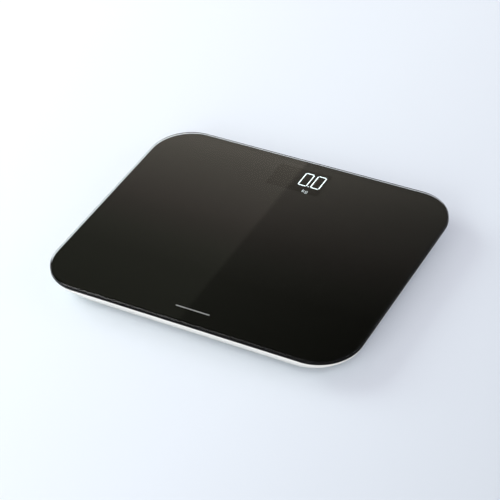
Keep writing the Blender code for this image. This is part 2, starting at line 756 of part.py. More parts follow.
def make_unit_button():
    """The unit switch under the board and the button that reaches it through the tray."""
    body_low = 7.9 * MM
    switch = box(
        "unit_switch",
        (BUTTON_X - 3 * MM, BUTTON_Y - 3 * MM, body_low),
        (BUTTON_X + 3 * MM, BUTTON_Y + 3 * MM, BOARD_BOTTOM - GAP),
        chip_black(),
        bevel=0.5 * MM,
    )
    plunger = tool_group("switch_plunger")
    tip = cylinder("plunger", 1.7 * MM, 7.6 * MM, body_low + 0.4 * MM, steps=16)
    helper(place(tip, BUTTON_X, BUTTON_Y), plunger)
    boolean(switch, plunger, "UNION")
    profile = [
        (0, 4.3 * MM),
        (BUTTON_RADIUS - 0.6 * MM, 4.3 * MM),
        (BUTTON_RADIUS, 4.7 * MM),
        (BUTTON_RADIUS, TRAY_INSIDE + GAP),
        (BUTTON_FLANGE_RADIUS, TRAY_INSIDE + GAP),
        (BUTTON_FLANGE_RADIUS, 6.9 * MM),
        (0, 6.9 * MM),
    ]
    place(turned("unit_button", profile, grey_plastic(), steps=24), BUTTON_X, BUTTON_Y)


def battery_profile():
    """(radius, distance along) of an AAA cell, from its flat end to its nub."""
    half = CELL_LENGTH / 2
    return [
        (0, -half),
        (4.6 * MM, -half),
        (CELL_RADIUS, -half + 0.6 * MM),
        (CELL_RADIUS, half - 1.6 * MM),
        (4.5 * MM, half - 1.0 * MM),
        (1.9 * MM, half - 1.0 * MM),
        (1.9 * MM, half),
        (0, half),
    ]


def make_batteries():
    """Two cells side by side, head to tail."""
    jacket = finish("battery_jacket", (0.1, 0.1, 0.11), 0.35, 0.6)
    for i, side in enumerate((-1, 1)):
        cell = turned(f"battery_{i + 1}", battery_profile(), jacket, steps=24)
        cell.location = (0, side * CELL_SPACING / 2, CELL_AXIS_HEIGHT)
        cell.rotation_euler = (0, -side * math.pi / 2, 0)


def coil(name, low, high, low_radius, high_radius, turns, wire_radius):
    """A conical coil about Z, as a tube with closed ends."""
    per_turn, sides = 10, 5
    bm = bmesh.new()
    rings = []
    for i in range(round(turns * per_turn) + 1):
        share = i / (turns * per_turn)
        angle = 2 * math.pi * turns * share
        radius = low_radius + (high_radius - low_radius) * share
        out = Vector((math.cos(angle), math.sin(angle), 0))
        middle = out * radius + Vector((0, 0, low + (high - low) * share))
        ring = []
        for side in range(sides):
            around = 2 * math.pi * side / sides
            ring.append(middle + wire_radius * (out * math.cos(around) + Vector((0, 0, 1)) * math.sin(around)))
        rings.append(ring)
    bridged(bm, rings)
    return shaped(name, bm, None)


def contact_coil(name, y, end, group):
    """A coil from the contact plate at one end of the box to the flat end of a cell."""
    wire_radius = 0.3 * MM
    base = BOX_HALF_X - 0.7 * MM
    tip = CELL_LENGTH / 2 + GAP + wire_radius
    piece = coil(name, -tip, -base, 1.9 * MM, 3.2 * MM, 3, wire_radius)
    piece.rotation_euler = (0, end * -math.pi / 2, 0)
    piece.location = (0, y, CELL_AXIS_HEIGHT)
    helper(piece, group)


def contact_plate(name, end, y_low, y_high):
    x_out, x_in = BOX_HALF_X - GAP, BOX_HALF_X - 0.8 * MM
    x_low, x_high = sorted((end * x_out, end * x_in))
    half = 4.3 * MM
    low = (x_low, y_low, CELL_AXIS_HEIGHT - half)
    high = (x_high, y_high, CELL_AXIS_HEIGHT + half)
    return box(name, low, high, spring_steel())


def make_contacts():
    """A bridge that joins both cells at +X, and a plus and a minus contact with solder tabs at -X."""
    half = CELL_SPACING / 2
    bridge = contact_plate("battery_bridge_contact", 1, -half - CONTACT_HALF, half + CONTACT_HALF)
    bridge_added = tool_group("bridge_added")
    contact_coil("bridge_coil", -half, 1, bridge_added)
    boss = cylinder("bridge_boss", 1.6 * MM, CELL_LENGTH / 2 + 0.4 * MM, BOX_HALF_X - 0.6 * MM, steps=12)
    boss.rotation_euler = (0, math.pi / 2, 0)
    boss.location = (0, half, CELL_AXIS_HEIGHT)
    helper(boss, bridge_added)
    boolean(bridge, bridge_added, "UNION")
    for name, y in (("battery_plus_contact", -half), ("battery_minus_contact", half)):
        plate = contact_plate(name, -1, y - CONTACT_HALF, y + CONTACT_HALF)
        added = tool_group(name + "_added")
        tab = box(name + "_tab", (-31 * MM, y - 1.4 * MM, 13.1 * MM), (-26 * MM, y + 1.4 * MM, 13.7 * MM))
        helper(tab, added)
        if name == "battery_minus_contact":
            contact_coil("minus_coil", y, -1, added)
        boolean(plate, added, "UNION")


def make_battery_leads():
    routes = {
        "battery_lead_red": (
            (0.55, 0.03, 0.03),
            [
                (-30.2, -5.6, 12.2),
                (-33.5, -4.0, 11.0),
                (-36.5, 4.0, 9.6),
                (-36.0, 22.0, 9.4),
                (-24.0, 46.0, 9.8),
                (-15.5, 57.5, 11.2),
                (-14.0, 65.5, 12.2),
            ],
        ),
        "battery_lead_black": (
            (0.02, 0.02, 0.02),
            [
                (-30.2, 5.6, 12.2),
                (-32.6, 8.5, 11.0),
                (-32.0, 20.0, 9.6),
                (-24.0, 36.0, 9.6),
                (-12.5, 52.0, 10.4),
                (-8.5, 59.5, 11.8),
                (-8.0, 65.5, 12.2),
            ],
        ),
    }
    for name, (colour, route) in routes.items():
        wire(name, route, 0.6 * MM, finish(name + "_jacket", colour, 0.45))


def make_battery_door():
    """The door: a plate with a relieved back edge, two tabs over the tray's lip and a folded latch."""
    low, high = TRAY_BOTTOM, TRAY_BOTTOM + DOOR_THICKNESS
    side = [
        (DOOR_FRONT, low + 0.3 * MM),
        (DOOR_FRONT + 0.3 * MM, low),
        (DOOR_BACK - 0.9 * MM, low),
        (DOOR_BACK, low + 1.0 * MM),
        (DOOR_BACK, high),
        (DOOR_FRONT, high),
    ]
    rings = [[(x, y, z) for y, z in side] for x in (-DOOR_HALF_X, DOOR_HALF_X)]
    door = stacked("battery_door", rings, white_shell())
    added = tool_group("door_added")
    removed = tool_group("door_removed")
    for end in (-1, 1):
        x = end * TAB_X
        reach = TAB_WIDTH / 2
        tab_low, tab_high = (x - reach, 14.4 * MM, high), (x + reach, 18.6 * MM, high + 0.9 * MM)
        helper(box(f"tab_{end}", tab_low, tab_high), added)
        root_low, root_high = (x - 2.5 * MM, 14.2 * MM, 4.8 * MM), (x + 2.5 * MM, 15.8 * MM, 6.1 * MM)
        helper(box(f"tab_root_{end}", root_low, root_high), added)
    helper(box("latch_notch", (-6 * MM, -17 * MM, 3 * MM), (6 * MM, -14.6 * MM, 7 * MM)), removed)
    latch = [
        (-14.4, 4.6),
        (-13.7, 4.6),
        (-13.7, 8.9),
        (-14.3, 9.6),
        (-15.7, 9.6),
        (-16.3, 8.9),
        (-16.3, 5.0),
        (-17.2, 5.0),
        (-17.2, 4.2),
        (-15.6, 4.2),
        (-15.6, 8.6),
        (-15.3, 8.9),
        (-14.7, 8.9),
        (-14.4, 8.6),
    ]
    latch_rings = [[(x, y * MM, z * MM) for y, z in latch] for x in (-4.8 * MM, 4.8 * MM)]
    helper(stacked("latch", latch_rings, None), added)
    boolean(door, removed, "DIFFERENCE")
    boolean(door, added, "UNION")


def main():
    clear_scene()
    make_glass()
    make_tape()
    make_tray()
    make_weighing_corners()
    make_cell_leads()
    make_board()
    make_display()
    make_unit_button()
    make_batteries()
    make_contacts()
    make_battery_leads()
    make_battery_door()


main()
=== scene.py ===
import math

import bmesh
import bpy
from mathutils import Matrix, Vector


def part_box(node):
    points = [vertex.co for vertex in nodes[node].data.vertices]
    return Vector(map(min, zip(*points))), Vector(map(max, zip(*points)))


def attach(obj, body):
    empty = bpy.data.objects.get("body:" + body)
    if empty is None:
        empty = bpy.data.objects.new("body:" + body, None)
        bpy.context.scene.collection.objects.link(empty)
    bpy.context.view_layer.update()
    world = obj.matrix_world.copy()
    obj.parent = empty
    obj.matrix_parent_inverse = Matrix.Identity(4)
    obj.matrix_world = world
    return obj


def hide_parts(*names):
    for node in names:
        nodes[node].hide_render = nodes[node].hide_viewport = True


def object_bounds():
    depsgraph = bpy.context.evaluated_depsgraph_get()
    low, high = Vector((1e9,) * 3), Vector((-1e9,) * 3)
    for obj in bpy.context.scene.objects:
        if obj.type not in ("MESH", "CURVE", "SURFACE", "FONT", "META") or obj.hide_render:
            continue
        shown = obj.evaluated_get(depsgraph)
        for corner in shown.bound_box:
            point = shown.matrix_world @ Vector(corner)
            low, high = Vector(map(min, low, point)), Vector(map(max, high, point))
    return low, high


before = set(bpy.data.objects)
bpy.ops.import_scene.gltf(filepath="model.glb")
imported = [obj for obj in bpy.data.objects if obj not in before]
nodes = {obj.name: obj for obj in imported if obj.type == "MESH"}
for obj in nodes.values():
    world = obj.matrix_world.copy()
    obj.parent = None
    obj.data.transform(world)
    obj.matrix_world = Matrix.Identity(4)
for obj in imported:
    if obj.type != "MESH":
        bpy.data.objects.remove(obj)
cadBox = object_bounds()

mm = 0.001
corners = ("front_left", "front_right", "back_left", "back_right")
scene = bpy.context.scene
print("frame loaded:", len(nodes), "nodes")


def roundedOutline(halfX, halfY, radius, steps):
    points = []
    for quarter, (sx, sy) in enumerate(((1, 1), (-1, 1), (-1, -1), (1, -1))):
        for step in range(steps + 1):
            angle = math.pi / 2 * (quarter + step / steps)
            x = sx * (halfX - radius) + radius * math.cos(angle)
            y = sy * (halfY - radius) + radius * math.sin(angle)
            points.append((x, y))
    return points


# rings run from the bottom up, slots gives each band's material index
def skinRings(bm, rings, slots):
    loops = [[bm.verts.new(p) for p in ring] for ring in rings]
    for slot, low, high in zip(slots, loops, loops[1:]):
        for i in range(len(low)):
            j = (i + 1) % len(low)
            face = bm.faces.new((low[i], low[j], high[j], high[i]))
            face.material_index = slot
    bm.faces.new(list(reversed(loops[0])))
    bm.faces.new(loops[-1])


def makePiece(name, bm, materials, body=None, smoothAngle=35):
    bmesh.ops.recalc_face_normals(bm, faces=bm.faces)
    mesh = bpy.data.meshes.new(name)
    bm.to_mesh(mesh)
    bm.free()
    mesh.shade_smooth()
    mesh.set_sharp_from_angle(angle=math.radians(smoothAngle))
    for material in materials:
        mesh.materials.append(material)
    piece = bpy.data.objects.new(name, mesh)
    scene.collection.objects.link(piece)
    if body:
        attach(piece, body)
    return piece


def flatPrism(bm, outline, low, high):
    bottom = [bm.verts.new((x, y, low)) for x, y in outline]
    top = [bm.verts.new((x, y, high)) for x, y in outline]
    bm.faces.new(list(reversed(bottom)))
    bm.faces.new(top)
    for i in range(len(outline)):
        j = (i + 1) % len(outline)
        bm.faces.new((bottom[i], bottom[j], top[j], top[i]))


def prismPiece(name, outlines, low, high, material):
    bm = bmesh.new()
    for outline in outlines:
        flatPrism(bm, outline, low, high)
    return makePiece(name, bm, [material], "base")


# profile is (radius, z) pairs in mm, from the axis round to the axis
def turnedPiece(name, profile, centre, material, body, steps=64):
    bm = bmesh.new()
    loops = []
    for radius, z in profile:
        ring = []
        for i in range(steps if radius else 1):
            angle = 2 * math.pi * i / steps
            x = centre[0] + radius * mm * math.cos(angle)
            y = centre[1] + radius * mm * math.sin(angle)
            ring.append(bm.verts.new((x, y, z * mm)))
        loops.append(ring)
    for low, high in zip(loops, loops[1:]):
        for i in range(steps):
            j = (i + 1) % steps
            around = [low[i % len(low)], low[j % len(low)], high[j % len(high)], high[i % len(high)]]
            bm.faces.new(list(dict.fromkeys(around)))
    return makePiece(name, bm, [material], body, smoothAngle=30)


def startMaterial(name):
    material = bpy.data.materials.new(name)
    material.use_nodes = True
    tree = material.node_tree
    shader = tree.nodes["Principled BSDF"]
    coords = tree.nodes.new("ShaderNodeTexCoord")
    return material, tree, shader, coords.outputs["Object"]


def noiseOf(tree, coords, scale, detail, stretch=None):
    if stretch:
        mapping = tree.nodes.new("ShaderNodeMapping")
        mapping.inputs["Scale"].default_value = stretch
        tree.links.new(coords, mapping.inputs["Vector"])
        coords = mapping.outputs["Vector"]
    noise = tree.nodes.new("ShaderNodeTexNoise")
    noise.inputs["Scale"].default_value = scale
    noise.inputs["Detail"].default_value = detail
    tree.links.new(coords, noise.inputs["Vector"])
    return noise.outputs["Fac"]


# stops are (place, colour) pairs from 0 to 1
def rampOf(tree, factor, stops):
    ramp = tree.nodes.new("ShaderNodeValToRGB")
    elements = ramp.color_ramp.elements
    while len(elements) < len(stops):
        elements.new(0.5)
    for element, (place, colour) in zip(elements, stops):
        element.position = place
        element.color = (*colour, 1.0)
    tree.links.new(factor, ramp.inputs["Fac"])
    return ramp.outputs["Color"]


# the default start and end are about where noise begins and ends
def rangeOf(tree, factor, low, high, start=0.3, end=0.7):
    node = tree.nodes.new("ShaderNodeMapRange")
    node.inputs["From Min"].default_value = start
    node.inputs["From Max"].default_value = end
    node.inputs["To Min"].default_value = low
    node.inputs["To Max"].default_value = high
    tree.links.new(factor, node.inputs["Value"])
    return node.outputs["Result"]


def bumpOf(tree, shader, height, distance):
    bump = tree.nodes.new("ShaderNodeBump")
    bump.inputs["Distance"].default_value = distance
    tree.links.new(height, bump.inputs["Height"])
    tree.links.new(bump.outputs["Normal"], shader.inputs["Normal"])


# how far a point lies along a direction
def alongOf(tree, coords, direction):
    along = tree.nodes.new("ShaderNodeVectorMath")
    along.operation = "DOT_PRODUCT"
    along.inputs[1].default_value = direction
    tree.links.new(coords, along.inputs[0])
    return along.outputs["Value"]


# factor 0 shows the first surface, 1 the second
def mixSurfaces(tree, factor, first, second):
    mix = tree.nodes.new("ShaderNodeMixShader")
    tree.links.new(factor, mix.inputs["Fac"])
    tree.links.new(first, mix.inputs[1])
    tree.links.new(second, mix.inputs[2])
    tree.links.new(mix.outputs["Shader"], tree.nodes["Material Output"].inputs["Surface"])


# grain and mottle are noise scales, grainDepth is in metres, dresses names the carried-over pieces
finishes = {
    "shellWhite": {
        "light": (0.78, 0.766, 0.74), "dark": (0.75, 0.738, 0.712), "roughness": (0.34, 0.48),
        "grain": 2600.0, "grainDepth": 0.00003, "dresses": ("base_tray", "battery_door"),
    },
    "greyMoulding": {
        "light": (0.36, 0.37, 0.38), "dark": (0.31, 0.32, 0.33), "roughness": (0.42, 0.58),
        "grain": 2200.0, "grainDepth": 0.00003, "dresses": ("cell_holder", "unit_button"),
    },
    "padRubber": {
        "light": (0.17, 0.17, 0.18), "dark": (0.12, 0.12, 0.13), "roughness": (0.75, 0.95),
        "grain": 3000.0, "grainDepth": 0.00005,
    },
    "cellSteel": {
        "light": (0.66, 0.65, 0.62), "dark": (0.56, 0.56, 0.54), "roughness": (0.22, 0.42),
        "grain": 900.0, "grainDepth": 0.00001, "metallic": 1.0, "stretch": (1.0, 14.0, 1.0),
        "dresses": ("load_cell",),
    },
    "screwZinc": {
        "light": (0.7, 0.69, 0.64), "dark": (0.6, 0.59, 0.55), "roughness": (0.25, 0.4),
        "grain": 1500.0, "grainDepth": 0.00001, "metallic": 1.0,
        "dresses": ("holder_screw", "board_screw"),
    },
    "contactNickel": {
        "light": (0.76, 0.73, 0.66), "dark": (0.68, 0.66, 0.6), "roughness": (0.18, 0.32),
        "grain": 1500.0, "grainDepth": 0.00001, "metallic": 1.0,
        "dresses": ("battery_bridge", "battery_plus", "battery_minus"),
    },
    "gaugeSilicone": {
        "light": (0.86, 0.85, 0.8), "dark": (0.78, 0.77, 0.72), "roughness": (0.35, 0.55),
        "grain": 800.0, "grainDepth": 0.00008, "dresses": ("gauge_coat",),
    },
    "foamTape": {
        "light": (0.78, 0.78, 0.76), "dark": (0.7, 0.7, 0.68), "roughness": (0.75, 0.95),
        "grain": 2400.0, "grainDepth": 0.00008, "dresses": ("platform_tape",),
    },
    "leadGrey": {
        "light": (0.56, 0.57, 0.59), "dark": (0.5, 0.51, 0.53), "roughness": (0.45, 0.6),
        "grain": 1200.0, "grainDepth": 0.00002, "dresses": ("cell_lead",),
    },
    "leadRed": {
        "light": (0.58, 0.03, 0.03), "dark": (0.48, 0.02, 0.02), "roughness": (0.4, 0.55),
        "grain": 1200.0, "grainDepth": 0.00002, "dresses": ("battery_lead_red",),
    },
    "leadBlack": {
        "light": (0.03, 0.03, 0.03), "dark": (0.015, 0.015, 0.015), "roughness": (0.4, 0.55),
        "grain": 1200.0, "grainDepth": 0.00002, "dresses": ("battery_lead_black",),
    },
    "chipEpoxy": {
        "light": (0.03, 0.03, 0.032), "dark": (0.018, 0.018, 0.02), "roughness": (0.4, 0.6),
        "grain": 4000.0, "grainDepth": 0.00002,
        "dresses": ("controller_chip", "converter_chip", "unit_switch"),
    },
    "sleeveBlue": {
        "light": (0.05, 0.07, 0.17), "dark": (0.035, 0.05, 0.12), "roughness": (0.25, 0.4),
        "grain": 900.0, "grainDepth": 0.00001, "dresses": ("board_capacitor",),
    },
    "reflectorWhite": {
        "light": (0.82, 0.82, 0.82), "dark": (0.77, 0.77, 0.77), "roughness": (0.3, 0.45),
        "grain": 1500.0, "grainDepth": 0.00001, "dresses": ("display_reflector",),
    },
    "smokedFilm": {
        "light": (0.022, 0.022, 0.024), "dark": (0.014, 0.014, 0.016), "roughness": (0.12, 0.22),
        "grain": 500.0, "grainDepth": 0.000005, "dresses": ("display_filter",),
    },
    "batteryJacket": {
        "light": (0.12, 0.12, 0.13), "dark": (0.08, 0.08, 0.09), "roughness": (0.2, 0.35),
        "grain": 300.0, "grainDepth": 0.000005, "metallic": 0.7,
        "dresses": ("battery_1", "battery_2"),
    },
    "boardGreen": {
        "light": (0.03, 0.18, 0.08), "dark": (0.02, 0.13, 0.055), "roughness": (0.25, 0.4),
        "grain": 700.0, "grainDepth": 0.00001, "dresses": ("main_board",),
    },
}
mottle = {"scale": 60.0, "detail": 3.0, "edges": (0.35, 0.65), "grainDetail": 5.0}


# two close tones in soft patches, a fine grain, and a sheen that varies with it
def mouldedFinish(name, look):
    material, tree, shader, coords = startMaterial(name)
    patches = noiseOf(tree, coords, mottle["scale"], mottle["detail"])
    fine = noiseOf(tree, coords, look["grain"], mottle["grainDetail"], look.get("stretch"))
    tones = list(zip(mottle["edges"], (look["dark"], look["light"])))
    tree.links.new(rampOf(tree, patches, tones), shader.inputs["Base Color"])
    tree.links.new(rangeOf(tree, fine, *look["roughness"]), shader.inputs["Roughness"])
    bumpOf(tree, shader, fine, look["grainDepth"])
    shader.inputs["Metallic"].default_value = look.get("metallic", 0.0)
    return material


moulded = {name: mouldedFinish(name, look) for name, look in finishes.items()}
print("moulded finishes made")


glass = {
    "ior": 1.52,
    "tint": (0.96, 0.985, 0.97), "filmScale": 45.0, "filmDetail": 4.0, "roughness": (0.0, 0.004),
    "edgeTint": (0.97, 0.985, 0.975), "grindScale": 1800.0, "grindDetail": 3.0,
    "edgeRoughness": (0.26, 0.4),
    # painted shade on the ground side: a dark coat rising by the run from the far left to the near right
    # corner
    "paintedShade": (0.006, 0.006, 0.006), "paintedShadeRoughness": 0.5, "paintedShadeSheen": 0.03,
    "run": (3.57, -4.44, 0.0), "darkness": ((-0.1, 0.0), (0.0, 0.4), (0.15, 0.88), (0.3, 1.0)),
}


def startGlass(name, tint):
    material, tree, shader, coords = startMaterial(name)
    shader.inputs["Base Color"].default_value = (*tint, 1.0)
    shader.inputs["Transmission Weight"].default_value = 1.0
    shader.inputs["IOR"].default_value = glass["ior"]
    return material, tree, shader, coords


def makeClearGlass(look):
    material, tree, shader, coords = startGlass("clearGlass", look["tint"])
    film = noiseOf(tree, coords, look["filmScale"], look["filmDetail"])
    tree.links.new(rangeOf(tree, film, *look["roughness"]), shader.inputs["Roughness"])
    return material


def makeGroundEdgeWithPaintedShade(look):
    material, tree, shader, coords = startGlass("groundEdgeWithPaintedShade", look["edgeTint"])
    grinding = noiseOf(tree, coords, look["grindScale"], look["grindDetail"])
    tree.links.new(rangeOf(tree, grinding, *look["edgeRoughness"]), shader.inputs["Roughness"])
    # painted shade: the dark coat is mixed in over the near and right sides only
    start, end = look["darkness"][0][0], look["darkness"][-1][0]
    place = rangeOf(tree, alongOf(tree, coords, look["run"]), 0.0, 1.0, start, end)
    stops = [((at - start) / (end - start), (dark,) * 3) for at, dark in look["darkness"]]
    paintedShade = tree.nodes.new("ShaderNodeBsdfPrincipled")
    paintedShade.inputs["Base Color"].default_value = (*look["paintedShade"], 1.0)
    paintedShade.inputs["Roughness"].default_value = look["paintedShadeRoughness"]
    paintedShade.inputs["Specular IOR Level"].default_value = look["paintedShadeSheen"]
    mixSurfaces(tree, rampOf(tree, place, stops), shader.outputs["BSDF"], paintedShade.outputs["BSDF"])
    return material


# the black print is painted paler towards the back as a painted reflection: each entry is (y, how pale)
printInkWithReflection = {
    "paintedReflection": ((-0.05, 0.002), (0.0, 0.007), (0.05, 0.015), (0.09, 0.019)),
    "tint": (1.0, 0.98, 0.9), "roughness": (0.4, 0.5), "grainDepth": 0.00001,
}
speck = {"scale": 900.0, "detail": 3.0, "edges": (0.4, 0.6)}


def makePrintInkWithReflection(look):
    material, tree, shader, coords = startMaterial("blackInkWithPaintedReflection")
    split = tree.nodes.new("ShaderNodeSeparateXYZ")
    tree.links.new(coords, split.inputs["Vector"])
    near, far = look["paintedReflection"][0][0], look["paintedReflection"][-1][0]
    along = rangeOf(tree, split.outputs["Y"], 0.0, 1.0, near, far)
    # painted reflection: the print turns paler along y towards the back
    stops = []
    for y, pale in look["paintedReflection"]:
        stops.append(((y - near) / (far - near), tuple(pale * part for part in look["tint"])))
    specks = noiseOf(tree, coords, speck["scale"], speck["detail"])
    tree.links.new(rampOf(tree, along, stops), shader.inputs["Base Color"])
    tree.links.new(rangeOf(tree, specks, *look["roughness"]), shader.inputs["Roughness"])
    bumpOf(tree, shader, specks, look["grainDepth"])
    shader.inputs["Specular IOR Level"].default_value = 0.0
    return material


clearGlass = makeClearGlass(glass)
groundEdgeWithPaintedShade = makeGroundEdgeWithPaintedShade(glass)
blackInkWithPaintedReflection = makePrintInkWithReflection(printInkWithReflection)

platform = {
    "top": 22.5 * mm, "bottom": 18.0 * mm, "radius": 36 * mm, "cornerSteps": 40,
    "arris": 1.2 * mm, "lowerArris": 0.5 * mm, "softening": 0.1 * mm, "smoothAngle": 50,
    # slot 1, the ground edge, carries painted shade on the near and right sides
    "edgeSlots": (0, 1, 1, 1, 1, 0, 0, 0, 0),  # 0 clear, 1 ground
    "printInset": 0.6 * mm, "printShift": 0.35 * mm, "printLow": 18.02 * mm, "printHigh": 18.06 * mm,
}


def plateRing(inset, z, look):
    half = (cadBox[1] - cadBox[0]) / 2
    radius = look["radius"] - inset
    outline = roundedOutline(half.x - inset, half.y - inset, radius, look["cornerSteps"])
    return [(x, y, z) for x, y in outline]


# inset and height of each ring: both edges are ground off at a slope, with softened turns
# and a narrow level strip inside them that keeps the faces flat in the light
def edgeProfile(look):
    low, high = look["bottom"], look["top"]
    upper, lower, soft = look["arris"], look["lowerArris"], look["softening"]
    half = soft * math.sin(math.pi / 4)
    strip = soft * 3
    return [
        (lower + strip, low), (lower + soft, low), (lower - half, low + half),
        (half, low + lower - half), (0, low + lower + soft),
        (0, high - upper - soft), (half, high - upper + half),
        (upper - half, high - half), (upper + soft, high), (upper + strip, high),
    ]


def makePlatform(look):
    bm = bmesh.new()
    rings = [plateRing(inset, z, look) for inset, z in edgeProfile(look)]
    skinRings(bm, rings, look["edgeSlots"])
    plate = makePiece("platformGlass", bm, [clearGlass, groundEdgeWithPaintedShade], "base", look["smoothAngle"])
    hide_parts("glass_platform")
    outline = [(x + look["printShift"], y) for x, y, z in plateRing(look["printInset"], 0, look)]
    ink = prismPiece("platformPrint", [outline], look["printLow"], look["printHigh"], blackInkWithPaintedReflection)


makePlatform(platform)
print("platform made")


inks = {
    "windowInk": {
        "low": (0.0004, 0.0004, 0.0004), "high": (0.0008, 0.0008, 0.0008),
        "sheen": 0.0, "roughness": (0.3, 0.4),
    },
    "silverInk": {
        "low": (0.6, 0.6, 0.6), "high": (0.68, 0.68, 0.68), "sheen": 0.3, "roughness": (0.3, 0.4),
    },
}
glows = {
    "segmentGlow": {"colour": (0.84, 0.98, 1.0), "strength": 1.35},
    "faintGlow": {"colour": (0.84, 0.96, 1.0), "strength": 0.62},
}
glowSpread = {"scale": 700.0, "detail": 2.0, "edges": (0.3, 0.7), "dimmest": 0.92}
litBase = (0.8, 0.85, 0.86)


def makeInk(name, look):
    material, tree, shader, coords = startMaterial(name)
    specks = noiseOf(tree, coords, speck["scale"], speck["detail"])
    tones = list(zip(speck["edges"], (look["low"], look["high"])))
    tree.links.new(rampOf(tree, specks, tones), shader.inputs["Base Color"])
    tree.links.new(rangeOf(tree, specks, *look["roughness"]), shader.inputs["Roughness"])
    shader.inputs["Specular IOR Level"].default_value = look["sheen"]
    return material


def makeGlow(name, look):
    material, tree, shader, coords = startMaterial(name)
    spread = noiseOf(tree, coords, glowSpread["scale"], glowSpread["detail"])
    dimmed = tuple(part * glowSpread["dimmest"] for part in look["colour"])
    tones = list(zip(glowSpread["edges"], (dimmed, look["colour"])))
    shader.inputs["Base Color"].default_value = (*litBase, 1.0)
    tree.links.new(rampOf(tree, spread, tones), shader.inputs["Emission Color"])
    shader.inputs["Emission Strength"].default_value = look["strength"]
    return material


windowInk, silverInk = (makeInk(name, look) for name, look in inks.items())
segmentGlow, faintGlow = (makeGlow(name, look) for name, look in glows.items())
print("inks and glows made")

display = {
    "windowCentre": (0.0, 87 * mm), "windowHalf": (24.8 * mm, 14.8 * mm),
    "windowRadius": 0.6 * mm, "windowSteps": 4,
    "low": 18.075 * mm, "high": 18.085 * mm,
    "figureLow": 18.10 * mm, "figureHigh": 18.14 * mm,
    "digitCentres": ((5.9 * mm, 89.5 * mm), (17.5 * mm, 89.5 * mm)),
    "digitWidth": 8.7 * mm, "digitHeight": 17.3 * mm, "stroke": 1.0 * mm,
    "cornerCut": 0.9 * mm, "gap": 0.1 * mm, "midGap": 0.35 * mm,
    "pointCentre": (11.75 * mm, 81.5 * mm), "pointHalf": 0.65 * mm,
    "pointRound": 0.6, "pointSteps": 3,
    "unitCentre": (12.0 * mm, 74.4 * mm), "unitStroke": 0.42,
    # the kilogram sign in thin bars, x and y of both ends in mm from its centre
    "unitBars": (
        (-2.3, -1.3, -2.3, 2.1), (-1.75, 0.05, -0.5, 1.15), (-1.75, -0.15, -0.45, -1.35),
        (0.85, 0.95, 1.95, 0.95), (0.6, 0.6, 0.6, -0.85), (0.85, -1.2, 1.9, -1.2),
        (2.35, 0.9, 2.35, -1.9), (0.8, -2.25, 2.05, -2.25),
    ),
    "markCentre": (0.0, -95.2 * mm), "markHalf": (15.5 * mm, 0.55 * mm),
    "markRound": 0.98, "markSteps": 5,
}


def moved(outline, centre):
    return [(centre[0] + x, centre[1] + y) for x, y in outline]


# the six lit bars of a nought
def zeroOutlines(centre, look):
    w, h = look["digitWidth"] / 2, look["digitHeight"] / 2
    s, c, g, m = look["stroke"], look["cornerCut"], look["gap"], look["midGap"]
    across = [(-w + c, h), (w - c, h), (w - s - g, h - s), (-w + s + g, h - s)]
    upright = [(w, h - c), (w, m), (w - s / 2, m - s / 4), (w - s, m), (w - s, h - s - g)]
    shapes = []
    for sy in (1, -1):
        shapes.append(moved([(x, sy * y) for x, y in across], centre))
        for sx in (1, -1):
            shapes.append(moved([(sx * x, sy * y) for x, y in upright], centre))
    return shapes


def slimBar(x0, y0, x1, y1, width):
    along = Vector((x1 - x0, y1 - y0)).normalized()
    side = Vector((-along.y, along.x)) * width / 2
    tip = along * width / 2
    a, b = Vector((x0, y0)), Vector((x1, y1))
    return [tuple(p) for p in (a - side, b - side, b + tip, b + side, a + side, a - tip)]


def unitOutlines(look):
    outlines = []
    for bar in look["unitBars"]:
        outline = slimBar(*bar, look["unitStroke"])
        outlines.append(moved([(x * mm, y * mm) for x, y in outline], look["unitCentre"]))
    return outlines


def makeDisplay(look):
    layer = (look["low"], look["high"])
    figures = (look["figureLow"], look["figureHigh"])
    window = roundedOutline(*look["windowHalf"], look["windowRadius"], look["windowSteps"])
    prismPiece("displayWindow", [moved(window, look["windowCentre"])], *layer, windowInk)
    for index, centre in enumerate(look["digitCentres"]):
        prismPiece(f"litNought{index + 1}", zeroOutlines(centre, look), *figures, segmentGlow)
    half = look["pointHalf"]
    point = roundedOutline(half, half, half * look["pointRound"], look["pointSteps"])
    prismPiece("litPoint", [moved(point, look["pointCentre"])], *figures, faintGlow)
    prismPiece("litUnit", unitOutlines(look), *figures, faintGlow)
    halfX, halfY = look["markHalf"]
    mark = roundedOutline(halfX, halfY, halfY * look["markRound"], look["markSteps"])
    prismPiece("frontMark", [moved(mark, look["markCentre"])], *layer, silverInk)


makeDisplay(display)
print("display made")


# (radius, z) pairs in mm round each half section
foot = {
    "cup": (
        (0, 2.1), (11.4, 2.1), (11.4, 1.5), (11.6, 1.25), (12.7, 1.2), (13.2, 1.35),  # lip round the pad
        (13.85, 2.0), (14.0, 2.4), (14.0, 6.6), (16.3, 6.6), (16.4, 6.75), (16.4, 7.7), (16.3, 7.8),
        (6.0, 7.8), (6.0, 9.2), (1.9, 9.2), (1.9, 12.2),  # boss and peg
        (3.1, 12.2), (3.1, 12.7), (2.0, 13.2), (0, 13.2),
    ),
    "pad": (
        (0, 0), (2.0, 0), (2.2, 0.35), (3.0, 0.35), (3.2, 0),  # ringed underside
        (4.8, 0), (5.0, 0.35), (5.8, 0.35), (6.0, 0), (7.6, 0), (7.8, 0.35), (8.6, 0.35), (8.8, 0),
        (10.2, 0), (10.7, 0.15), (11.0, 0.5), (11.0, 1.8), (0, 1.8),
    ),
}


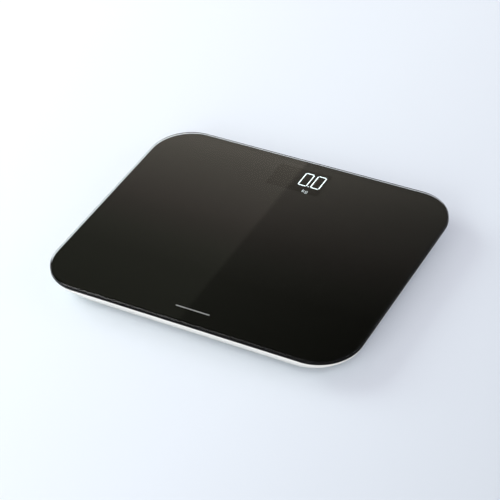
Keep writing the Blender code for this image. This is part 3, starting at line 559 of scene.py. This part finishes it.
def makeFeet(look):
    for corner in corners:
        low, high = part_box(f"foot_pad_{corner}")
        centre = (low + high) / 2
        body = f"foot_{corner}"
        hardFoot = turnedPiece(f"hardFoot_{corner}", look["cup"], centre, moulded["greyMoulding"], body)
        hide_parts(f"foot_{corner}")
        softPad = turnedPiece(f"softPad_{corner}", look["pad"], centre, moulded["padRubber"], body)
        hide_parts(f"foot_pad_{corner}")


makeFeet(foot)
print("feet made")


for finish, look in finishes.items():
    for name, node in nodes.items():
        if name.startswith(look.get("dresses", ())):
            node.data.materials.clear()
            node.data.materials.append(moulded[finish])
print("carried-over pieces dressed")


# painted light falloff on the floor: paler towards the far left, darker towards the near right; tones
# are (place, colour)
floorLook = {
    "half": 6.0, "fade": (0.975, -0.226, 0.0), "reach": 0.4, "roughness": 0.7, "sheen": 0.2,
    "tones": (
        (0.0, (0.88, 0.94, 0.985)), (0.39, (0.815, 0.88, 0.935)), (0.62, (0.755, 0.816, 0.876)),
        (0.75, (0.70, 0.758, 0.817)), (1.0, (0.602, 0.655, 0.707)),
    ),
}


def makeFloor(look):
    bm = bmesh.new()
    half = look["half"]
    around = ((-half, -half), (half, -half), (half, half), (-half, half))
    bm.faces.new([bm.verts.new((x, y, 0)) for x, y in around])
    material, tree, shader, coords = startMaterial("paleFloor")
    # painted light falloff along the fade direction
    along = alongOf(tree, coords, look["fade"])
    faded = rangeOf(tree, along, 0.0, 1.0, -look["reach"], look["reach"])
    tree.links.new(rampOf(tree, faded, look["tones"]), shader.inputs["Base Color"])
    shader.inputs["Roughness"].default_value = look["roughness"]
    shader.inputs["Specular IOR Level"].default_value = look["sheen"]
    # seen from beneath, the floor lets the underside show
    geometry = tree.nodes.new("ShaderNodeNewGeometry")
    through = tree.nodes.new("ShaderNodeBsdfTransparent")
    mixSurfaces(tree, geometry.outputs["Backfacing"], shader.outputs["BSDF"], through.outputs["BSDF"])
    makePiece("floor", bm, [material])


softboxes = {
    "keySoftbox": {"place": (-1.6, 0.0, 0.85), "size": 1.1, "power": 17.0, "colour": (1.0, 1.06, 0.98)},
    "fillSoftbox": {"place": (0.0, -1.8, 0.7), "size": 1.2, "power": 17.0, "colour": (1.0, 1.03, 0.97)},
    "sideSoftbox": {"place": (1.6, 0.3, 0.6), "size": 1.1, "power": 4.0, "colour": (1.0, 1.0, 1.0)},
}


def makeSoftbox(name, look):
    data = bpy.data.lights.new(name, "AREA")
    data.size = look["size"]
    data.energy = look["power"]
    data.color = look["colour"]
    light = bpy.data.objects.new(name, data)
    light.location = look["place"]
    light.rotation_euler = (-Vector(look["place"])).to_track_quat("-Z", "Y").to_euler()
    light.visible_glossy = False
    scene.collection.objects.link(light)


# seen in reflections, but neither by the camera nor as light
def glossOnly(piece):
    piece.visible_camera = False
    piece.visible_diffuse = False
    piece.visible_transmission = False
    piece.visible_shadow = False


def startGlowCard(name):
    material = bpy.data.materials.new(name)
    material.use_nodes = True
    tree = material.node_tree
    tree.nodes.clear()
    coords = tree.nodes.new("ShaderNodeTexCoord")
    split = tree.nodes.new("ShaderNodeSeparateXYZ")
    tree.links.new(coords.outputs["Object"], split.inputs["Vector"])
    return material, tree, split


def glowWith(tree, colour, strength):
    glow = tree.nodes.new("ShaderNodeEmission")
    glow.inputs["Strength"].default_value = strength
    tree.links.new(colour, glow.inputs["Color"])
    out = tree.nodes.new("ShaderNodeOutputMaterial")
    tree.links.new(glow.outputs["Emission"], out.inputs["Surface"])


# a sheet overhead: bright on the left, dimmer past its seam, and brighter towards the back
panel = {
    "height": 1.2, "x": (-5.0, 3.0), "y": (-3.0, 6.0), "strength": 1.25,
    "sidesRun": (-1.272, -0.272), "depthRun": (0.9, 1.6),
    # (place from left to right, level)
    "sides": ((0.0, 0.4), (0.18, 1.0), (0.497, 1.0), (0.503, 0.64), (0.8, 0.28)),
    # (place from near to far, level, redness)
    "depth": (
        (0.149, 0.178, -0.05), (0.207, 0.188, -0.05), (0.295, 0.205, -0.03), (0.383, 0.250, 0.0),
        (0.470, 0.300, 0.1), (0.558, 0.400, 0.12), (0.646, 0.510, 0.1), (0.734, 0.645, 0.09),
        (0.790, 0.795, 0.09), (0.86, 0.45, 0.05), (1.0, 0.24, 0.0),
    ),
    "blueness": 0.80,
}


def makePanel(look):
    bm = bmesh.new()
    (x0, x1), (y0, y1) = look["x"], look["y"]
    around = ((x0, y0), (x0, y1), (x1, y1), (x1, y0))
    bm.faces.new([bm.verts.new((x, y, look["height"])) for x, y in around])
    material, tree, split = startGlowCard("panelGlow")
    across = rangeOf(tree, split.outputs["X"], 0.0, 1.0, *look["sidesRun"])
    along = rangeOf(tree, split.outputs["Y"], 0.0, 1.0, *look["depthRun"])
    sideStops = [(place, (level,) * 3) for place, level in look["sides"]]
    depthStops = []
    for place, level, redness in look["depth"]:
        tint = (level * (1 + redness), level, level * (look["blueness"] + redness / 2))
        depthStops.append((place, tint))
    product = tree.nodes.new("ShaderNodeMix")
    product.data_type = "RGBA"
    product.blend_type = "MULTIPLY"
    product.inputs["Factor"].default_value = 1.0
    tree.links.new(rampOf(tree, across, sideStops), product.inputs["A"])
    tree.links.new(rampOf(tree, along, depthStops), product.inputs["B"])
    glowWith(tree, product.outputs["Result"], look["strength"])
    glossOnly(makePiece("overheadPanel", bm, [material]))


# upright cards round the near and right sides: bright on the left, dark on the right
cards = {
    "near": -1.15, "left": -1.7, "right": 1.3, "far": 2.0, "low": 0.01, "top": 2.2,
    "tones": ((-0.95, 2.6), (-0.68, 1.5), (-0.43, 0.4)),  # (x, tone)
    "dark": 0.16, "darkPlace": 0.7,
}


def makeCards(look):
    bm = bmesh.new()
    left, right = look["left"], look["right"]
    turns = ((left, look["near"]), (right, look["near"]), (right, look["far"]))
    low = [bm.verts.new((x, y, look["low"])) for x, y in turns]
    high = [bm.verts.new((x, y, look["top"])) for x, y in turns]
    for i in range(len(turns) - 1):
        bm.faces.new((low[i], low[i + 1], high[i + 1], high[i]))
    material, tree, split = startGlowCard("cardGlow")
    across = rangeOf(tree, split.outputs["X"], 0.0, 1.0, left, right)
    brightest = look["tones"][0][1]
    stops = [((x - left) / (right - left), (tone / brightest,) * 3) for x, tone in look["tones"]]
    stops.append((look["darkPlace"], (look["dark"] / brightest,) * 3))
    glowWith(tree, rampOf(tree, across, stops), brightest)
    glossOnly(makePiece("glossCards", bm, [material]))


air = {"colour": (1.0, 0.955, 1.02), "strength": 0.71}


def makeWorld(look):
    world = bpy.data.worlds.new("studioAir")
    scene.world = world
    world.use_nodes = True
    background = world.node_tree.nodes["Background"]
    background.inputs["Color"].default_value = (*look["colour"], 1.0)
    background.inputs["Strength"].default_value = look["strength"]


# angles in degrees, round from the front
camera = {
    "azimuth": 31.99, "elevation": 39.53, "roll": -5.40, "distance": 1.5593,
    "lens": 137.14, "sensor": 36, "aim": (3.51 * mm, -7.41 * mm, 15.95 * mm),
}


def makeCamera(look):
    azimuth, elevation, roll = (math.radians(look[k]) for k in ("azimuth", "elevation", "roll"))
    level = math.cos(elevation)
    back = Vector((math.sin(azimuth) * level, -math.cos(azimuth) * level, math.sin(elevation)))
    right = Vector((math.cos(azimuth), math.sin(azimuth), 0))
    up = back.cross(right)
    turned = Matrix((
        math.cos(roll) * right + math.sin(roll) * up,
        math.cos(roll) * up - math.sin(roll) * right,
        back,
    )).transposed()
    data = bpy.data.cameras.new("studioCamera")
    data.lens = look["lens"]
    data.sensor_width = look["sensor"]
    holder = bpy.data.objects.new("studioCamera", data)
    place = Vector(look["aim"]) + back * look["distance"]
    holder.matrix_world = Matrix.Translation(place) @ turned.to_4x4()
    scene.collection.objects.link(holder)
    scene.camera = holder


makeFloor(floorLook)
for name, look in softboxes.items():
    makeSoftbox(name, look)
makePanel(panel)
makeCards(cards)
makeWorld(air)
makeCamera(camera)
scene.view_settings.view_transform = "Standard"
print("studio made")
